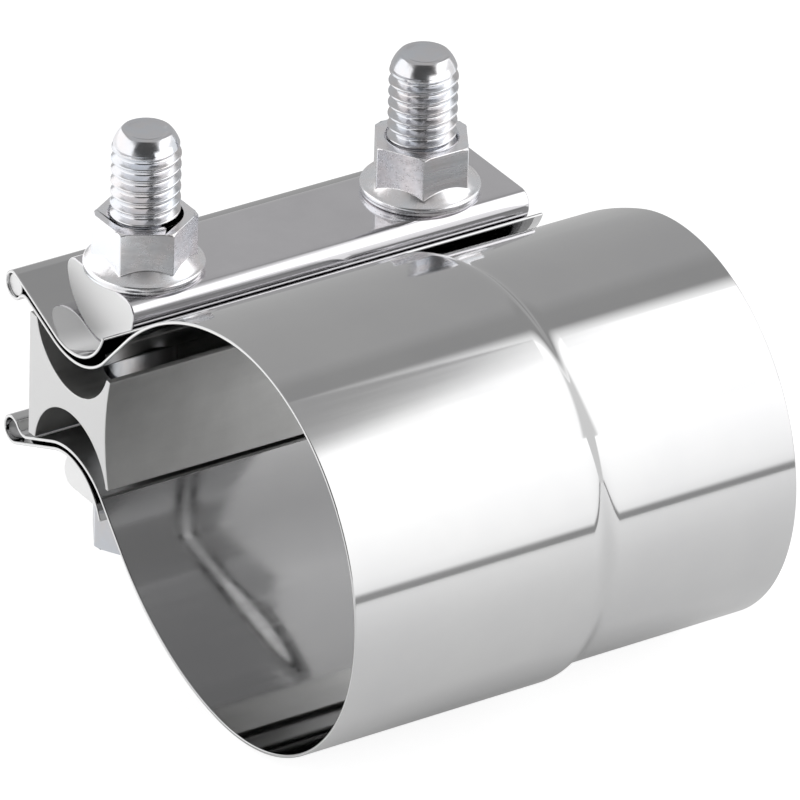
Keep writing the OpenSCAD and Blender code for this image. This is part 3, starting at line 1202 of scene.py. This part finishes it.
@dataclass
class Studio:
    """The pale floor, the luminous cards and the camera at the photograph's view.

    Attributes:
        eye: Place of the camera.
        azimuth: Direction of the view, in degrees.
        elevation: Height of the view, in degrees.
        roll: Roll of the camera, in degrees.
        lens: Focal length on a 36 mm sensor.
        floor_z: Height of the floor.
        floor_tone: Colour of the floor.
        floor_seen: What the floor adds to its brightness for the camera.
        mirrored_glow_and_painted_shadow: What it adds for the metal, at distances in metres from
            the clamp, lower near the clamp as a painted shadow of the clamp on the floor.
        room: Brightness of the grey room.
        dark: Brightness of the dark patch behind the camera.
        dark_edge: Angles at which the dark patch ends and starts to fade, in degrees.
        cards: The luminous cards.
    """

    eye: tuple[float, float, float] = (1137.3, -728.7, 791.9)
    azimuth: float = 33.58
    elevation: float = 29.64
    roll: float = 1.83
    lens: float = 512.19
    floor_z: float = -30.72
    floor_tone: float = 0.45
    floor_seen: float = 0.83
    # Floor glow in the metal's reflections, darker close to the clamp: a painted shadow of the
    # clamp on the floor.
    mirrored_glow_and_painted_shadow: tuple[tuple[float, float], ...] = (
        (0.0, 0.18), (0.016, 0.19), (0.024, 0.35), (0.0285, 0.44), (0.042, 0.49),
        (0.067, 0.55), (0.095, 0.61), (0.2, 0.7), (0.5, 0.75),
    )
    room: float = 0.48
    dark: float = 0.08
    dark_edge: tuple[float, float] = (48, 30)
    cards: tuple[Card, ...] = (
        Card(
            "back_card",
            ((-0.04, 0.5, -0.03), (1.5, 0.5, -0.03), (1.5, 0.5, 1.12), (-0.04, 0.5, 0.925)),
            ((0.0, 0.9), (0.2, 0.95), (0.3, 1.6), (0.88, 1.7), (0.95, 0.7), (1.0, 0.48)),
        ),
        Card(
            "back_card_frame",
            ((-0.04, 0.5, -0.03), (-0.04, 0.5, 0.84), (-0.4, 0.5, 1.3), (-0.4, 0.5, -0.03)),
            ((0.0, 1.4), (0.09, 1.15), (0.28, 0.39), (0.65, 0.40), (1.0, 0.48)),
        ),
        Card(
            "side_card",
            ((0.17, 0.0, -0.0305), (0.17, 0.75, -0.0305), (0.17, 0.75, 0.12), (0.17, 0.0, 0.12)),
            (
                (0.0, 0.38), (0.06, 0.38), (0.1, 1.25), (0.21, 1.38), (0.44, 1.5),
                (0.67, 1.6), (1.0, 1.75),
            ),
        ),
        Card(
            "left_card",
            ((-0.09, 0.03, -0.0305), (-0.09, 0.6, -0.0305), (-0.09, 0.6, 0.1), (-0.09, 0.03, 0.1)),
            ((0.0, 0.55), (0.3, 0.5), (1.0, 0.48)),
        ),
        Card(
            "fill_left",
            ((-1.1, 0.15, 0.0), (-0.5, -0.8, 0.0), (-0.5, -0.8, 0.8), (-1.1, 0.15, 0.8)),
            ((0.0, 1.3), (1.0, 1.3)),
        ),
        Card(
            "fill_front",
            ((-0.5, -0.8, 0.0), (0.15, -1.0, 0.0), (0.15, -1.0, 0.8), (-0.5, -0.8, 0.8)),
            ((0.0, 1.3), (1.0, 1.3)),
        ),
        Card(
            "low_left",
            (
                (-0.05, 0.01, -0.0303), (-0.05, -0.4, -0.0303),
                (-0.5, -0.4, -0.0303), (-0.5, 0.01, -0.0303),
            ),
            ((0.0, 0.95), (0.15, 1.1), (1.0, 1.1)),
        ),
    )

    def camera(self) -> None:
        """Makes the camera."""
        az, el, roll = (math.radians(a) for a in (self.azimuth, self.elevation, self.roll))
        level = Vector((-math.cos(az), math.sin(az), 0))
        side = Vector((math.sin(az), math.cos(az), 0))
        view = level * math.cos(el) - Vector((0, 0, math.sin(el)))
        top = side.cross(view)
        right = math.cos(roll) * side + math.sin(roll) * top
        up = math.cos(roll) * top - math.sin(roll) * side
        data = bpy.data.cameras.new("camera")
        data.lens = self.lens
        data.sensor_width = 36.0
        data.clip_start, data.clip_end = 0.05, 30.0
        camera = bpy.data.objects.new("camera", data)
        bpy.context.scene.collection.objects.link(camera)
        turned = Matrix((right, up, -view)).transposed().to_4x4()
        turned.translation = place(*self.eye)
        camera.matrix_world = turned
        bpy.context.scene.camera = camera

    def floor(self) -> None:
        """Makes the floor that the clamp stands on, evenly bright for the camera, with a painted
        shadow of the clamp in what the metal reflects.
        """
        Workshop.put_down()
        bpy.ops.mesh.primitive_plane_add(size=12, location=place(0, 0, self.floor_z))
        floor = Workshop.settle("floor")
        paint, wires = bare_paint("pale_floor")
        place_of = wires.add("ShaderNodeTexCoord")
        stretch = wires.add("ShaderNodeVectorMath", {
            0: place_of.outputs["Object"], 1: (1.0, 0.5, 0.0),
            2: -0.5 * place(0, SIZES.width / 2, 0),
        }, "MULTIPLY_ADD")
        away = wires.add("ShaderNodeVectorMath", {0: stretch.outputs[0]}, "LENGTH")
        reach = self.mirrored_glow_and_painted_shadow[-1][0]
        share = wires.add("ShaderNodeMath", {0: away.outputs["Value"], 1: reach}, "DIVIDE")
        # This ramp paints the clamp's shadow on the floor as the metal sees it, with less glow
        # close to the clamp.
        ramp = wires.add("ShaderNodeValToRGB", {0: share.outputs[0]})
        grade(ramp, [(distance / reach, glow_of) for distance, glow_of in self.mirrored_glow_and_painted_shadow])
        paths = wires.add("ShaderNodeLightPath").outputs
        seen = wires.add("ShaderNodeMath", {
            0: paths["Is Camera Ray"], 1: self.floor_seen,
        }, "MULTIPLY")
        mirrored = wires.add("ShaderNodeMath", {
            0: paths["Is Glossy Ray"], 1: ramp.outputs["Color"], 2: seen.outputs[0],
        }, "MULTIPLY_ADD")
        matt = wires.add("ShaderNodeBsdfDiffuse", {"Color": (*(self.floor_tone,) * 3, 1)})
        glow = wires.add("ShaderNodeEmission", {"Strength": mirrored.outputs[0]})
        both = wires.add("ShaderNodeAddShader", {0: matt.outputs[0], 1: glow.outputs[0]})
        wires.feed(wires.nodes["Material Output"], {"Surface": both.outputs[0]})
        floor.data.materials.append(paint)

    def world(self) -> None:
        """Makes the grey room with a dark patch behind the camera, white to the camera."""
        world = bpy.data.worlds.new("room")
        bpy.context.scene.world = world
        world.use_nodes = True
        wires = Wiring(world.node_tree)
        place_of = wires.add("ShaderNodeTexCoord")
        facing = wires.add("ShaderNodeVectorMath", {
            0: place_of.outputs["Generated"], 1: place(*self.eye).normalized(),
        }, "DOT_PRODUCT")
        patch = wires.add("ShaderNodeMapRange")
        patch.interpolation_type = "SMOOTHSTEP"
        outer, inner = (math.cos(math.radians(angle)) for angle in self.dark_edge)
        wires.feed(patch, {
            "Value": facing.outputs["Value"], "From Min": outer, "From Max": inner,
            "To Min": self.room, "To Max": self.dark,
        })
        wall = wires.nodes["Background"]
        wires.feed(wall, {"Color": (1, 1, 1, 1), "Strength": patch.outputs["Result"]})
        paths = wires.add("ShaderNodeLightPath")
        white = wires.add("ShaderNodeBackground")
        mix = wires.add("ShaderNodeMixShader", {
            0: paths.outputs["Is Camera Ray"], 1: wall.outputs[0], 2: white.outputs[0],
        })
        wires.feed(wires.nodes["World Output"], {"Surface": mix.outputs[0]})

    def build(self) -> None:
        """Builds the whole studio."""
        self.camera()
        self.floor()
        self.world()
        for card in self.cards:
            card.stand()
        bpy.context.scene.view_settings.view_transform = "Standard"


def corners(box: tuple[Vector, Vector]) -> list[list[float]]:
    """Returns a box's two corners as plain lists of numbers."""
    return [list(corner) for corner in box]


def main() -> None:
    """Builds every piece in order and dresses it."""
    logging.basicConfig(level=logging.INFO, format="%(name)s: %(message)s")
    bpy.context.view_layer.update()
    Studio().build()
    dress(Band().build(), POLISHED_SHEET, Slot.POLISHED, "clamp", "band")
    bars = SaddleBars()
    for piece, node in zip(bars.build(), ("upper_saddle_bar", "lower_saddle_bar")):
        dress(piece, POLISHED_BAR, Slot.POLISHED, "clamp", node)
    for piece, node in zip(LoopRods().build(), ("upper_rod", "lower_rod")):
        dress(piece, DRAWN_WIRE, Slot.WIRE, "clamp", node)
    dress(ReactionBlock().build(), SAWN_BLOCK, Slot.BLOCK, "clamp", "reaction_block")
    fasteners = Fasteners()
    bar_top = SIZES.bar_bottom + bars.h + SIZES.seat
    for which, y, turn in zip(("front", "rear"), SIZES.bolt_ys, NUT_TURNS):
        bolt = fasteners.bolt(y, -bar_top, which + "_bolt_body")
        dress(bolt, BLUE_ZINC, Slot.ZINC, which + "_bolt", which + "_bolt")
        nut = fasteners.nut(y, turn, bar_top, which + "_nut_body")
        dress(nut, PEARL_ZINC, Slot.ZINC, which + "_nut", which + "_nut")


if __name__ == "__main__":
    main()
